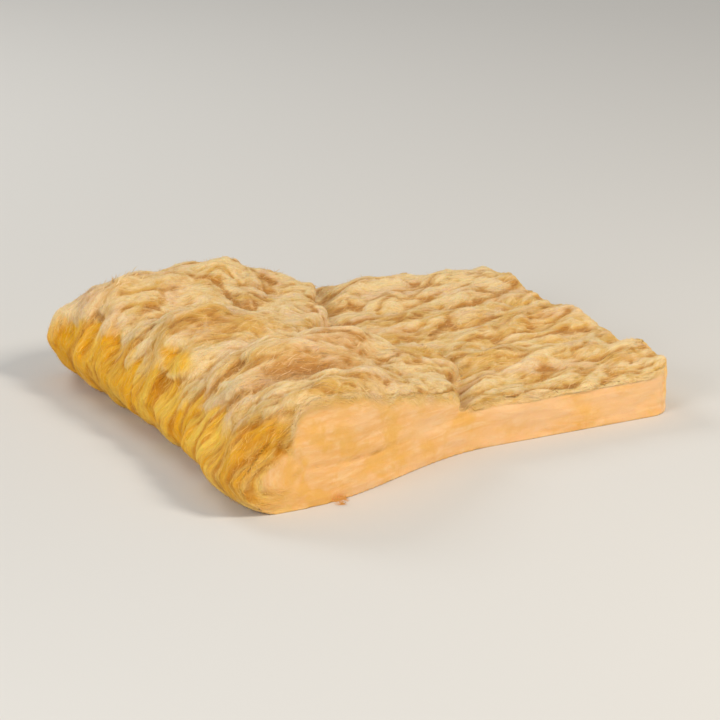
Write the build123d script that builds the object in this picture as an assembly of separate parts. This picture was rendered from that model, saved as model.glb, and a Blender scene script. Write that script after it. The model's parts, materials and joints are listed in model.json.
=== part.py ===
from build123d import *
import os
from math import cos, exp, hypot, pi, sin, sqrt, tanh

# A blanket of glass wool, doubled over on itself. One continuous strip: the lower layer lies
# flat, turns up and back at the fold, and lies on itself as the flap.
# X runs along the strip from the fold to the cut end, Y across it from the near to the far
# side, Z up. All sizes are in millimetres.

# The strip
blanket_width = 610
overall_length = 670
layer_thickness = 66
pressed_thickness = 50
lower_ridge_height = 12
lower_ridge_spacing = 175
lower_ridge_drift = 0.3
lower_rise_run = 60

# The fold
near_nose_height = 48
far_nose_height = 60
landing_run = 78
near_climb_run = 150
far_climb_run = 80
climb_power = 0.85
near_lead = 26
lead_start = 40
lead_run = 180
corner_pull = 14
corner_fade = 11
fold_wall = 92

# The flap, which is torn off unevenly
flap_length = 365
tear_swing = 38
tear_spacing = 360
first_tear = 200
small_tear_swing = 10
small_tear_spacing = 127
near_flap_thickness = 97
far_flap_thickness = 81
flap_end_thickness = 34
fall_run = 185
end_bulge = 16

# Soft ridges that run along the strip, a little further apart toward the far side
ridge_height = 22
first_ridge = 22
ridge_spacing = 152
ridge_spread = 8

# Locks of wool on the ridges and round the fold. Three sets of low waves cross at small
# angles and swell where their crests meet. A lean is the step across for each step along.
lock_height = 14
lock_spacing = 67
lock_lean = 0.38
first_lock = -23
crossing_spacing = 90
crossing_lean = -0.37
first_crossing = 227
slanted_spacing = 74
slanted_lean = 1.1
first_slanted = 50
lock_near_run = 25
lock_floor_run = 45
lock_end_run = 50

# The tuft that stands up near the far side
tuft_height = 9
tuft_along = 262
tuft_inset = 42
tuft_reach = 38

# The slit between the layers
slit_root_gap = 2
slit_mouth_gap = 5

# The sides, cut with a knife. The near cut runs in, so it is not square to the strip.
run_in = 84
run_in_start = 100
run_in_length = 300
near_roll = 9
near_roll_run = 7
far_roll = 32
far_roll_run = 15
corner_radius = 30

# Modelling steps: the sections stand this far apart. They reach this far below the floor
# plane and past the sides before the underside and the sides are cut. A crowding above 1
# draws a curve's points together at its start.
section_step = 14
floor_dip = 5
trim_margin = 20
rough_length = overall_length + trim_margin
landing_steps = 6
climb_steps = 7
climb_crowding = 2
flap_steps = 10
end_steps = 6
lower_steps = 14
lower_crowding = 1.4
plan_steps = 12


def smooth(share):
    """A gentle step from 0 to 1."""
    share = min(max(share, 0), 1)
    return share * share * (3 - 2 * share)


def near_edge(along):
    """Where the near cut runs, measured across the strip."""
    return run_in * smooth((along - run_in_start) / run_in_length)


def fold_tip(across):
    """The foremost point of the fold at one place across the strip."""
    lead = near_lead * smooth((across - lead_start) / lead_run)
    far_inset = blanket_width - across
    corners = exp(-max(across, 0) / corner_fade) + exp(-max(far_inset, 0) / corner_fade)
    return lead + corner_pull * corners


def flap_end(across):
    """Where the torn end of the flap lies."""
    swing = tear_swing * cos(2 * pi * (across - first_tear) / tear_spacing)
    small_swing = small_tear_swing * cos(2 * pi * (across - first_tear) / small_tear_spacing)
    return flap_length + swing + small_swing


def rounding(inset, run):
    """Falls from 1 outside a cut side to 0 well inside it."""
    return (1 - tanh((inset - run / 2) / run)) / 2


def side_drop(along, across):
    """How far the top is rounded down beside the two cut sides."""
    near = near_roll * rounding(across - near_edge(along), near_roll_run)
    far = far_roll * rounding(blanket_width - across, far_roll_run)
    return near + far


def from_near_to_far(near_value, far_value, across):
    """A size that changes evenly across the strip."""
    return near_value + (far_value - near_value) * across / blanket_width


def ridge_wave(along, across):
    """Runs from 0 in a hollow to 1 on a crest. The ridges fan out from the near cut."""
    edge = near_edge(along)
    fanned = (across - edge) * blanket_width / (blanket_width - edge)
    inset = fanned - first_ridge
    root = sqrt(max(ridge_spacing**2 + 4 * ridge_spread * inset, 0))
    ridges_passed = (root - ridge_spacing) / (2 * ridge_spread)
    return (1 + cos(2 * pi * ridges_passed)) / 2


def lock_wave(along, across):
    """Runs from -1 between the locks to 1 on the highest of their backs."""
    main = cos(2 * pi * (across - lock_lean * along - first_lock) / lock_spacing)
    crossing_place = across - crossing_lean * along - first_crossing
    crossing = cos(2 * pi * crossing_place / crossing_spacing)
    slanted = cos(2 * pi * (across - slanted_lean * along - first_slanted) / slanted_spacing)
    return (main + crossing + slanted) / 3


def tuft(along, across):
    """Height of the tuft at one place."""
    away = hypot(along - tuft_along, across - blanket_width + tuft_inset)
    return tuft_height * exp(-(away / tuft_reach) ** 2)


def lock_relief(along, across):
    """How far the wool stands out from the smooth skin, or where below 0 lies in from it. The
    knife has pressed the locks down beside the near cut, and the far side is rounded down."""
    near = rounding(across - near_edge(along), lock_near_run)
    far = rounding(blanket_width - across, far_roll_run)
    raised = lock_height / 2 * lock_wave(along, across) * (1 - near) + tuft(along, across)
    return raised * (1 - far)


def slit_mouth(across):
    """Where the two layers part, just inside the torn end of the flap."""
    return flap_end(across) - end_bulge


def lower_top(along, across):
    """Height of the lower layer's upper side, from the mouth of the slit to the cut end."""
    rise = smooth((along - slit_mouth(across)) / lower_rise_run)
    ridges_passed = (across + lower_ridge_drift * along) / lower_ridge_spacing
    ridge = lower_ridge_height / 2 * cos(2 * pi * ridges_passed)
    drop = side_drop(along, across) / 2
    loft_height = layer_thickness - pressed_thickness + ridge - drop
    return pressed_thickness + (loft_height + lock_relief(along, across)) * rise


def nose_height(across):
    """Height of the foremost point of the fold."""
    return from_near_to_far(near_nose_height, far_nose_height, across)


def climb_run(across):
    """How far the fold takes to climb to full height."""
    return from_near_to_far(near_climb_run, far_climb_run, across)


def flap_top(along, across):
    """Height of the flap's upper side."""
    climb_share = min(max((along - fold_tip(across)) / climb_run(across), 0), 1)
    climb = sin(pi / 2 * climb_share) ** climb_power
    fall = smooth((along - flap_end(across) + fall_run) / fall_run)
    full = from_near_to_far(near_flap_thickness, far_flap_thickness, across)
    thickness = full + (flap_end_thickness - full) * fall
    thickness *= 1 - ridge_height / full * (1 - ridge_wave(along, across))
    thickness *= 1 - side_drop(along, across) / full
    slit_top = pressed_thickness + slit_root_gap + (slit_mouth_gap - slit_root_gap) * fall
    nose = nose_height(across)
    return nose + (slit_top + thickness - nose) * climb


def run_lengths(points):
    """How far each point lies along the curve from its start."""
    runs = [0]
    for start, stop in zip(points, points[1:]):
        runs.append(runs[-1] + hypot(stop[0] - start[0], stop[1] - start[1]))
    return runs


def with_locks(points, across):
    """Moves the points of the smooth skin outward by the relief of the locks, which fades
    out at the floor and at the flap's end. A lock's place is counted back from that end."""
    runs = run_lengths(points)
    end = points[-1][0]
    moved = []
    for number, (along, up) in enumerate(points):
        before = points[max(number - 1, 0)]
        after = points[min(number + 1, len(points) - 1)]
        reach = hypot(after[0] - before[0], after[1] - before[1])
        to_end = runs[-1] - runs[number]
        out = lock_relief(end - to_end, across)
        out *= smooth(up / lock_floor_run) * smooth(to_end / lock_end_run) / reach
        moved.append((along - out * (after[1] - before[1]), up + out * (after[0] - before[0])))
    return moved


def outer_curve(across):
    """From the landing on the floor, round the fold and over the flap to its end."""
    tip = fold_tip(across)
    shoulder = tip + climb_run(across)
    points = []
    for step in range(landing_steps):
        turn = pi / 2 * step / landing_steps
        down = (nose_height(across) + floor_dip) * cos(turn)
        points.append((tip + landing_run * (1 - sin(turn)), nose_height(across) - down))
    for step in range(climb_steps):
        along = tip + climb_run(across) * (step / climb_steps) ** climb_crowding
        points.append((along, flap_top(along, across)))
    for step in range(flap_steps + 1):
        along = shoulder + (slit_mouth(across) - shoulder) * step / flap_steps
        points.append((along, flap_top(along, across)))
    return with_locks(points, across)


def flap_end_curve(across):
    """The rounded torn end of the flap, from its top down to the slit."""
    mouth = slit_mouth(across)
    top = flap_top(mouth, across)
    bottom = pressed_thickness + slit_mouth_gap
    points = []
    for step in range(end_steps + 1):
        turn = pi * step / end_steps
        up = (top + bottom) / 2 + (top - bottom) / 2 * cos(turn)
        points.append((mouth + end_bulge * sin(turn), up))
    return points


def lower_curve(across):
    """Along the top of the lower layer, from the mouth of the slit to the cut end."""
    mouth = slit_mouth(across)
    points = []
    for step in range(lower_steps + 1):
        along = mouth + (rough_length - mouth) * (step / lower_steps) ** lower_crowding
        points.append((along, lower_top(along, across)))
    return points


def spaced(points):
    """Shares of the whole length at which a curve passes its points."""
    runs = run_lengths(points)
    return [run / runs[-1] for run in runs]


def curve(points, across, spacing):
    """A smooth edge through points of one section."""
    return Edge.make_spline([(along, across, up) for along, up in points], parameters=spacing)


# Every section passes its points at the same shares, taken from the middle one, so the
# sections blend evenly across the strip.
middle = blanket_width / 2
outer_spacing = spaced(outer_curve(middle))
end_spacing = spaced(flap_end_curve(middle))
lower_spacing = spaced(lower_curve(middle))


def strip_section(across):
    """The whole outline of the doubled strip at one place across it."""

    def at(along, up):
        return (along, across, up)

    outer = outer_curve(across)
    lower = lower_curve(across)
    end = flap_end_curve(across)
    root = fold_tip(across) + fold_wall
    landing, landing_up = outer[0]
    cut_end, cut_end_up = lower[-1]
    root_low = at(root, pressed_thickness)
    root_high = at(root, pressed_thickness + slit_root_gap)
    edges = [
        curve(outer, across, outer_spacing),
        curve(end, across, end_spacing),
        Edge.make_line(at(*end[-1]), root_high),
        Edge.make_line(root_high, root_low),
        Edge.make_line(root_low, at(*lower[0])),
        curve(lower, across, lower_spacing),
        Edge.make_line(at(cut_end, cut_end_up), at(cut_end, landing_up)),
        Edge.make_line(at(cut_end, landing_up), at(landing, landing_up)),
    ]
    return Face(Wire(edges))


def plan_outline():
    """The blanket seen from above: the near cut runs in, the far cut is straight."""
    near = []
    for step in range(-1, plan_steps + 1):
        along = overall_length * step / plan_steps
        near.append((along, near_edge(along)))
    start = near[0][0]
    edges = [
        Edge.make_spline(near),
        Edge.make_line(near[-1], (overall_length, blanket_width)),
        Edge.make_line((overall_length, blanket_width), (start, blanket_width)),
        Edge.make_line((start, blanket_width), near[0]),
    ]
    outline = Face(Wire(edges))
    cut_corners = outline.vertices().group_by(Axis.X)[-1]
    return outline.fillet_2d(corner_radius, cut_corners)


def make_blanket():
    """Loft the strip, cut its sides to plan and its underside flat, and centre it."""
    rough_width = blanket_width + 2 * trim_margin
    section_count = round(rough_width / section_step)
    sections = []
    for number in range(section_count + 1):
        sections.append(strip_section(rough_width * number / section_count - trim_margin))
    strip = loft(sections)
    thickest = max(near_flap_thickness, far_flap_thickness)
    tall = pressed_thickness + slit_mouth_gap + thickest + trim_margin
    cut_shape = extrude(plan_outline(), amount=tall, dir=(0, 0, 1))
    blanket = (strip & cut_shape).solid()
    box = blanket.bounding_box()
    return Pos(-box.center().X, -box.center().Y, 0) * blanket


wool_blanket = make_blanket()
os.makedirs("parts", exist_ok=True)
export_step(wool_blanket, "parts/wool_blanket.step")
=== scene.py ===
# %% [markdown]
# # A folded blanket of glass wool
#
# The object is a length of yellow glass-wool blanket, doubled over on itself. It is one
# piece of loose, springy fibre: a round fold at one end, a torn upper layer that lies back
# over the lower one, and two sides that were cut clean.
#
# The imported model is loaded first. It gives the true size and place of the blanket, and
# everything below is made to fit it. Sizes are written in millimetres, and MM turns them
# to metres, because Blender works in metres.

# %% Load the frame
import json
import math

import bmesh
import bpy
import numpy as np
from mathutils import Matrix, Vector

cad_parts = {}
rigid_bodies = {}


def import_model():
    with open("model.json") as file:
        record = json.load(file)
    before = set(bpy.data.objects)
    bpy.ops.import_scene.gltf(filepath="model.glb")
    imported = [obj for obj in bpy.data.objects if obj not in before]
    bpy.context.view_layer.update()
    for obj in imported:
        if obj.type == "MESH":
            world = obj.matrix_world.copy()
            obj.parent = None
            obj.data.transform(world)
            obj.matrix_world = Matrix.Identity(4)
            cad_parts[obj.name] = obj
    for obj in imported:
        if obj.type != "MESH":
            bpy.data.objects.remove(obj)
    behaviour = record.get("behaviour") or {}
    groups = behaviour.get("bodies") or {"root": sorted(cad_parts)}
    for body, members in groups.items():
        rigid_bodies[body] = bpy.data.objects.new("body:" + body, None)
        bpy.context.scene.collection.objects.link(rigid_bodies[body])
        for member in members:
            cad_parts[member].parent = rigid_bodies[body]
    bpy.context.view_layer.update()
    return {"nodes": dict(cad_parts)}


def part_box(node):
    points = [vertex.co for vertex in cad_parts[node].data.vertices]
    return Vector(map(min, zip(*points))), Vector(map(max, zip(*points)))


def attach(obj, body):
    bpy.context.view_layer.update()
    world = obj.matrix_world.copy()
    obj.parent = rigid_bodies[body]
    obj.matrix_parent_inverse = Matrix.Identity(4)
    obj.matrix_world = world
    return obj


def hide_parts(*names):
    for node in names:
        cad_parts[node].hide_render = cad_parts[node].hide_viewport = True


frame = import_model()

lowest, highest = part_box("wool_blanket")
MM = 0.001
print("blanket box in metres:", [round(v, 3) for v in (*lowest, *highest)])

# %% [markdown]
# ## The camera
#
# The camera stands where the photograph was taken from: almost five metres away, low, and
# well round to the left of the near side. A long lens keeps the lines nearly parallel. Its
# up direction is given too, because the photograph seems to be rolled by a fraction of a
# degree.

# %% Camera
camera_place = Vector((-2.1661, -4.0628, 1.5889))
camera_target = Vector((0, 0, 0.06))
camera_up = Vector((0.15055, 0.27582, 0.94935))
camera_lens = 190


def look_at(place, target, up):
    """A turned and placed frame whose -Z looks at the target."""
    back = (place - target).normalized()
    side = up.cross(back).normalized()
    above = back.cross(side)
    turned = Matrix((side, above, back)).transposed().to_4x4()
    turned.translation = place
    return turned


camera_data = bpy.data.cameras.new("camera")
camera_data.lens = camera_lens
camera = bpy.data.objects.new("camera", camera_data)
camera.matrix_world = look_at(camera_place, camera_target, camera_up)
bpy.context.scene.collection.objects.link(camera)
bpy.context.scene.camera = camera
print("camera distance:", round((camera_place - camera_target).length, 2))

# %% [markdown]
# ## The lamps
#
# Wool has no gloss, so it shows its shape only by light and shade. One large soft lamp from
# in front and above is the main light. A weaker one on the left opens the fold's face, and
# a third from behind lifts the far rim. Point lamps would give hard shadows between the
# tufts, so all three are broad area lamps.

# %% Soft lamps
def srgb(text):
    """A colour written as sRGB hex, as the linear values that Blender's sockets take."""
    parts = [int(text[i:i + 2], 16) / 255 for i in (1, 3, 5)]
    return [p / 12.92 if p <= 0.04045 else ((p + 0.055) / 1.055) ** 2.4 for p in parts] + [1]


def soft_lamp(name, place, size, watts, colour):
    """A square area lamp that faces the blanket."""
    data = bpy.data.lights.new(name, "AREA")
    data.size = size
    data.energy = watts
    data.color = srgb(colour)[:3]
    lamp = bpy.data.objects.new(name, data)
    lamp.matrix_world = look_at(Vector(place), camera_target, Vector((0, 0, 1)))
    bpy.context.scene.collection.objects.link(lamp)
    print(name, "gives", watts, "watts")


soft_lamp("key_lamp", (1.4, -2.1, 2.4), 0.9, 69, "#FFF6EA")
soft_lamp("fill_lamp", (-2.6, -1.2, 1.3), 1.6, 38, "#FFFFFF")
soft_lamp("back_lamp", (-0.6, 2.4, 1.9), 1.2, 26, "#FFFFFF")

# %% [markdown]
# ## The world and the floor
#
# The even light of the world keeps the hollows open. The camera sees a paler world than the
# one that lights the blanket: Light Path tells the two apart, so a pale background costs no
# extra light on the wool. The floor is a plain pale plane, wide enough to reach the horizon.
#
# Every node in this script is added by one small function. It sets the node's own choices,
# and then fills its inputs, with a link where the value is another node's socket.

# %% World and floor
def add_node(tree, kind, values=None, **settings):
    """Adds a node. Settings are the node's own choices. Values go to its inputs, by name or
    number: a socket is linked, anything else is set."""
    made = tree.nodes.new(kind)
    for name, setting in settings.items():
        setattr(made, name, setting)
    for name, value in (values or {}).items():
        if isinstance(value, bpy.types.NodeSocket):
            tree.links.new(value, made.inputs[name])
        else:
            made.inputs[name].default_value = value
    return made


def new_material(name):
    """An empty node material and its tree."""
    material = bpy.data.materials.new(name)
    material.use_nodes = True
    material.node_tree.nodes.clear()
    return material, material.node_tree


world = bpy.data.worlds.new("studio")
world.use_nodes = True
sky = world.node_tree
sky.nodes.clear()
rays = add_node(sky, "ShaderNodeLightPath")
light = add_node(sky, "ShaderNodeBackground", {"Color": srgb("#FFFFFF"), "Strength": 0.34})
seen = add_node(sky, "ShaderNodeBackground", {"Color": srgb("#E9E7E2"), "Strength": 1.0})
shown = add_node(sky, "ShaderNodeMixShader",
                 {0: rays.outputs["Is Camera Ray"], 1: light.outputs[0], 2: seen.outputs[0]})
add_node(sky, "ShaderNodeOutputWorld", {"Surface": shown.outputs[0]})
bpy.context.scene.world = world
bpy.context.scene.view_settings.view_transform = "Standard"

floor_half = 30
floor_corners = [(-floor_half, -floor_half, 0), (floor_half, -floor_half, 0),
                 (floor_half, floor_half, 0), (-floor_half, floor_half, 0)]
floor_mesh = bpy.data.meshes.new("floor")
floor_mesh.from_pydata(floor_corners, [], [(0, 1, 2, 3)])
floor = bpy.data.objects.new("floor", floor_mesh)
bpy.context.scene.collection.objects.link(floor)
floor_paint, floor_tree = new_material("pale_floor_paint")
matt = add_node(floor_tree, "ShaderNodeBsdfPrincipled",
                {"Base Color": srgb("#DAD8D3"), "Roughness": 0.9, "Specular IOR Level": 0.2})
add_node(floor_tree, "ShaderNodeOutputMaterial", {"Surface": matt.outputs[0]})
floor_mesh.materials.append(floor_paint)
print("floor side in metres:", 2 * floor_half)

# %% [markdown]
# ## The body of wool
#
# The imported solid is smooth. Real wool has no sharp slit between its layers, because the
# fibres reach across, so the shape is first swelled by a few millimetres, remeshed, and
# drawn back in. That closes the slit and keeps the outline. A subdivision would keep the
# slit and its long thin faces. Voxels of under 3 mm give enough even, square faces to carry
# the relief of the torn surface.

# %% Helpers for meshes
def vertex_array(mesh, wanted="co"):
    """All vertex places, or normals, as rows of a numpy array."""
    rows = np.empty(len(mesh.vertices) * 3)
    if wanted == "co":
        mesh.vertices.foreach_get("co", rows)
    else:
        mesh.vertex_normals.foreach_get("vector", rows)
    return rows.reshape(-1, 3)


def place_vertices(mesh, rows):
    """Puts a numpy array of places back in the mesh."""
    mesh.vertices.foreach_set("co", np.ascontiguousarray(rows).ravel())
    mesh.update()


def show(mesh, name):
    """A new object at the origin that holds this mesh."""
    shown_object = bpy.data.objects.new(name, mesh)
    bpy.context.scene.collection.objects.link(shown_object)
    return shown_object


def settled(piece):
    """The mesh of a piece with its modifiers carried out."""
    graph = bpy.context.evaluated_depsgraph_get()
    return bpy.data.meshes.new_from_object(piece.evaluated_get(graph), depsgraph=graph)


def merged(mesh):
    """A copy of a loose-triangle mesh with its doubles joined and its normals outward."""
    joined = mesh.copy()
    work = bmesh.new()
    work.from_mesh(joined)
    bmesh.ops.remove_doubles(work, verts=work.verts, dist=0.01 * MM)
    bmesh.ops.recalc_face_normals(work, faces=work.faces)
    work.to_mesh(joined)
    work.free()
    return joined


solid = merged(frame["nodes"]["wool_blanket"].data)
print("packed solid, joined vertices:", len(solid.vertices))

# %% Remesh the blanket
swell = 2.6 * MM
voxel = 2.95 * MM

place_vertices(solid, vertex_array(solid) + swell * vertex_array(solid, "normal"))
body = show(solid, "wool_body")
remesh = body.modifiers.new("remesh", "REMESH")
remesh.mode = "VOXEL"
remesh.voxel_size = voxel
body_mesh = settled(body)
body.modifiers.remove(remesh)
body.data = body_mesh
body_mesh.materials.clear()
place_vertices(body_mesh, vertex_array(body_mesh) - swell * vertex_array(body_mesh, "normal"))
print("body faces after remesh:", len(body_mesh.polygons))

# %% [markdown]
# ## The lay of the wool
#
# The fibres run with the strip: level on the layers, and round the fold. A place on the
# skin is therefore told by how far it lies along the wrap and how far across the strip.
# The wool wraps round the line where the two layers start to touch, so the turn round the
# fold is measured from that line. On a cut side a place is told by the distance along the
# layers and the depth from their meeting line, because a clean cut shows them edge on.

# %% Measure each place along the wrap
fold_wall = 92 * MM
slit_height = 51 * MM
wrap_radius = 80 * MM
flap_top = 130 * MM
drop_within, drop_share = 60 * MM, 0.8
tucked_under = 0.9 * math.pi
front_steps = 40


def smooth_step(values, low, high):
    """0 below low, 1 above high, and an even S-curve between them."""
    share = np.clip((values - low) / (high - low), 0, 1)
    return share * share * (3 - 2 * share)


def front_line(rows):
    """The fold's foremost x, read at even steps across the strip."""
    edges = np.linspace(lowest.y, highest.y, front_steps + 1)
    places = (edges[:-1] + edges[1:]) / 2
    number = np.clip(np.digitize(rows[:, 1], edges) - 1, 0, front_steps - 1)
    fronts = np.full(front_steps, np.inf)
    np.minimum.at(fronts, number, rows[:, 0])
    return places, fronts


front_across, front_x = front_line(vertex_array(frame["nodes"]["wool_blanket"].data))
print("fold front runs from", round(front_x.min(), 3), "to", round(front_x.max(), 3))


def wrap_place(rows):
    """Distances from the layers' meeting line: along X, up, and the turn round the fold."""
    past_root = rows[:, 0] - np.interp(rows[:, 1], front_across, front_x) - fold_wall
    above = rows[:, 2] - slit_height
    turn = np.where(past_root < 0, np.arctan2(-past_root, above), 0)
    return past_root, above, turn


def skin_lay(rows, normals):
    """Distance along the wrap on the outer skin: 0 where the fold starts to turn down. The
    slope at the torn end counts too, so that the tufts there aren't drawn out."""
    past_root, above, turn = wrap_place(rows)
    under = (rows[:, 2] < slit_height / 2) & (normals[:, 2] < 0)
    dropped = smooth_step(past_root, 0, drop_within) * (flap_top - rows[:, 2]) * drop_share
    straight = np.where(under, -math.pi * wrap_radius - past_root, past_root + dropped)
    return np.where(past_root < 0, -wrap_radius * turn, straight)


def side_lay(rows):
    """Distance along the layers, and depth, on a cut side."""
    past_root, above, turn = wrap_place(rows)
    folded = wrap_radius * (np.abs(turn - math.pi / 2) - math.pi / 2)
    along = np.where(past_root < 0, folded, past_root)
    depth = np.where(past_root < 0, np.hypot(past_root, above), np.abs(above))
    return along, depth


# %% [markdown]
# ## Maps of the unrolled wool
#
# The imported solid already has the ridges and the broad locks. What it lacks is how torn
# wool comes apart: in tufts, rounded bundles of fibre along the lay, each with a free end
# that laps over its neighbours. Plain noise gives lumps and no laps. So the tufts are drawn
# one by one on a height map of the unrolled skin, with one cell to a millimetre, and the
# map is read back onto the body. These helpers make, soften and read such maps.

# %% Helpers for maps
def wool_noise(random, along, across, long, wide):
    """Gradient noise, about -1 to 1, with one bump to each cell of long by wide."""
    x = (along - along.min()) / long
    y = (across - across.min()) / wide
    shape = (int(x.max()) + 2, int(y.max()) + 2)
    angles = random.random(shape) * 2 * math.pi
    slope_x, slope_y = np.cos(angles), np.sin(angles)
    low_x, low_y = x.astype(int), y.astype(int)
    inside_x, inside_y = x - low_x, y - low_y
    share_x = inside_x ** 3 * (inside_x * (inside_x * 6 - 15) + 10)
    share_y = inside_y ** 3 * (inside_y * (inside_y * 6 - 15) + 10)

    def corner(step_x, step_y):
        at = (low_x + step_x, low_y + step_y)
        return slope_x[at] * (inside_x - step_x) + slope_y[at] * (inside_y - step_y)

    near = corner(0, 0) * (1 - share_x) + corner(1, 0) * share_x
    far = corner(0, 1) * (1 - share_x) + corner(1, 1) * share_x
    return (near * (1 - share_y) + far * share_y) * 1.4


def softened(values, passes):
    """Each cell drawn toward its neighbours, so that edges are felted and not cut."""
    for _ in range(passes):
        padded = np.pad(values, 1, mode="edge")
        values = (padded[1:-1, 1:-1] * 2 + padded[:-2, 1:-1] + padded[2:, 1:-1]
                  + padded[1:-1, :-2] + padded[1:-1, 2:]) / 6
    return values


def blurred(values, reach):
    """The mean of the cells within reach, first along the map and then across it."""
    for _ in range(2):
        padded = np.pad(values, ((reach + 1, reach), (0, 0)), mode="edge")
        total = np.cumsum(padded, axis=0)
        wide = 2 * reach + 1
        values = ((total[wide:] - total[:-wide]) / wide).T
    return values


def read_map(values, row, column):
    """Reads a map between its cells, for each vertex."""
    row = np.clip(row, 0, values.shape[0] - 1.001)
    column = np.clip(column, 0, values.shape[1] - 1.001)
    low_row, low_column = row.astype(int), column.astype(int)
    down, over = row - low_row, column - low_column
    upper = values[low_row, low_column] * (1 - over) + values[low_row, low_column + 1] * over
    lower = (values[low_row + 1, low_column] * (1 - over)
             + values[low_row + 1, low_column + 1] * over)
    return upper * (1 - down) + lower * down


def map_cells(shape):
    """The row and the column of every cell, as numbers to measure from."""
    return np.meshgrid(np.arange(shape[0]) * 1.0, np.arange(shape[1]) * 1.0, indexing="ij")


# %% [markdown]
# ## Which way the fibres lean
#
# No stretch of wool lies quite straight. Three sizes of noise push the lay sideways, and
# the slope of that push is the angle at which a tuft lies. The map is wider than the strip
# by a margin on each side, because the skin hangs a little way over the cut rims.

# %% The skin map and its drift
random = np.random.default_rng(7)
skin_start = -300 * MM
skin_end = 660 * MM
skin_width = highest.y - lowest.y
map_margin = 60
skin_shape = (int((skin_end - skin_start) / MM), int(skin_width / MM) + 2 * map_margin)
map_along, map_across = map_cells(skin_shape)
fold_row = -skin_start / MM

drift = np.zeros(skin_shape)
for push, long, wide in ((19, 170, 120), (9, 60, 45), (3, 25, 18)):
    drift += push * wool_noise(random, map_along, map_across, long, wide)
drift_along, drift_across = np.gradient(drift)
lay_angle = np.arctan2(-drift_along, 1 + drift_across)
print("skin map cells:", skin_shape, "most lean in degrees:",
      round(math.degrees(np.abs(lay_angle).max())))

# %% [markdown]
# ## Tufts
#
# Each tuft is a small mound with its own size, bend and tint, and one end higher than the
# other. Where two meet, the higher one hides the lower, which is what makes them look laid
# over each other. Three layers are drawn: broad locks, tresses on them, and fine wisps on
# top. On the fold the wool is stretched, so the tufts there are slimmer, lower and in line.

# %% Lay the tufts on the map
def lay_tufts(count, long, wide, tall, astray):
    """Maps of the tufts' height, their tints, and the row that each one grows from."""
    height, tint, home = np.zeros(skin_shape), np.full(skin_shape, 0.5), map_along.copy()
    for _ in range(count):
        row, column = random.random(2) * skin_shape
        on_fold = float(smooth_step(fold_row - row, 0, 70))
        half_long = long * random.uniform(0.35, 0.7)
        half_wide = wide * random.uniform(0.3, 0.8) * (1 - 0.4 * on_fold)
        rise = tall * random.uniform(0.5, 1.0) * (1 - 0.6 * on_fold)
        level = rise * random.uniform(0, 0.6)
        bend = random.normal(0, 0.35) * half_wide
        tip = random.choice([-0.35, 0.35])
        own_tint = random.random()
        turned = lay_angle[int(row), int(column)] + random.normal(0, astray * (1 - 0.5 * on_fold))
        low_row, low_column = int(max(row - half_long, 0)), int(max(column - half_long, 0))
        window = np.s_[low_row:int(row + half_long) + 2, low_column:int(column + half_long) + 2]
        down, over = map_along[window] - row, map_across[window] - column
        u = (down * math.cos(turned) + over * math.sin(turned)) / half_long
        v = (over * math.cos(turned) - down * math.sin(turned) - bend * (u * u - 0.4)) / half_wide
        mound_top = (1 - v * v) * np.clip(1 - u * u, 0, 1) ** 0.6 * (1 + tip * u)
        raised = np.where((np.abs(u) < 1) & (np.abs(v) < 1), level + rise * mound_top, -1)
        wins = raised > height[window]
        height[window] = np.where(wins, raised, height[window])
        tint[window] = np.where(wins, own_tint, tint[window])
        home[window] = np.where(wins, row, home[window])
    return height, tint, home


locks, lock_tint, lock_home = lay_tufts(640, 105, 44, 9, 0.3)
tresses, tress_tint, tress_home = lay_tufts(4600, 46, 16, 3.6, 0.45)
wisps, wisp_tint, wisp_home = lay_tufts(12000, 32, 8, 1.8, 0.5)

hollow_reach = 11
level_reach = 60
skin_height = softened(softened(locks + tresses, 3) + wisps, 1)
skin_hollow = skin_height - blurred(skin_height, hollow_reach)
skin_height -= blurred(skin_height, level_reach)
print("skin relief in mm, lowest and highest:", skin_height.min().round(2),
      skin_height.max().round(2))

# %% [markdown]
# ## Where the wool is golden
#
# The outside of the fold is a strong golden yellow, and the torn top is pale cream. The
# two don't meet in a line: whole tufts belong to one or to the other. So the border is
# tested at the place that each tuft grows from, and not at each point. A cut face shows
# the wool from inside, level and even, and gets a calm map of its own.

# %% Tints of the skin and relief of the cut
skin_tint = softened(0.4 * lock_tint + 0.35 * tress_tint + 0.25 * wisp_tint, 1)
skin_tint += 0.3 * wool_noise(random, map_along, map_across, 200, 130)
pulled = wool_noise(random, map_along, map_across + drift, 120, 60)
toward_near = 1 - smooth_step(map_across - map_margin, 10, 110)
toward_far = smooth_step(map_across - map_margin, 470, 600)

gold_below_top = 75
gold_wander = 26
gold_near_rise = 40
gold_far_drop = 28
gold_row = fold_row - gold_below_top + gold_wander * pulled
gold_row += gold_near_rise * toward_near - gold_far_drop * toward_far
tuft_row = 0.3 * lock_home + 0.35 * tress_home + 0.2 * wisp_home + 0.15 * map_along
gold_map = softened(smooth_step(gold_row - tuft_row, -14, 14), 3)

far_side = smooth_step(map_across, 0.5 * skin_shape[1], 0.9 * skin_shape[1])
skin_tint += 0.25 * (far_side - 0.3) * (1 - gold_map) - 0.25 * toward_far * gold_map
gold_map *= 1 - 0.5 * toward_near * softened(0.5 * lock_tint + 0.5 * tress_tint, 2)

side_shape = (760, 130)
side_along, side_across = map_cells(side_shape)
side_height = (4 * wool_noise(random, side_along, side_across, 90, 45)
               + 1.2 * wool_noise(random, side_along, side_across, 30, 12))
side_shade = 0.2 + 0.5 * wool_noise(random, side_along, side_across, 60, 30)
side_shade += 0.5 * smooth_step(side_along, 150, 500)
print("share of the skin map that is golden:", gold_map.mean().round(3))

# %% [markdown]
# ## The rims of the cuts
#
# The maps are now read at each vertex. A vertex is on a cut side where it faces sideways
# and lies close to one of the two cuts. The loose skin hangs over each cut rim in ragged
# fingers, so the skin's place is counted on over the rim, and the cut face starts below it.

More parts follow.
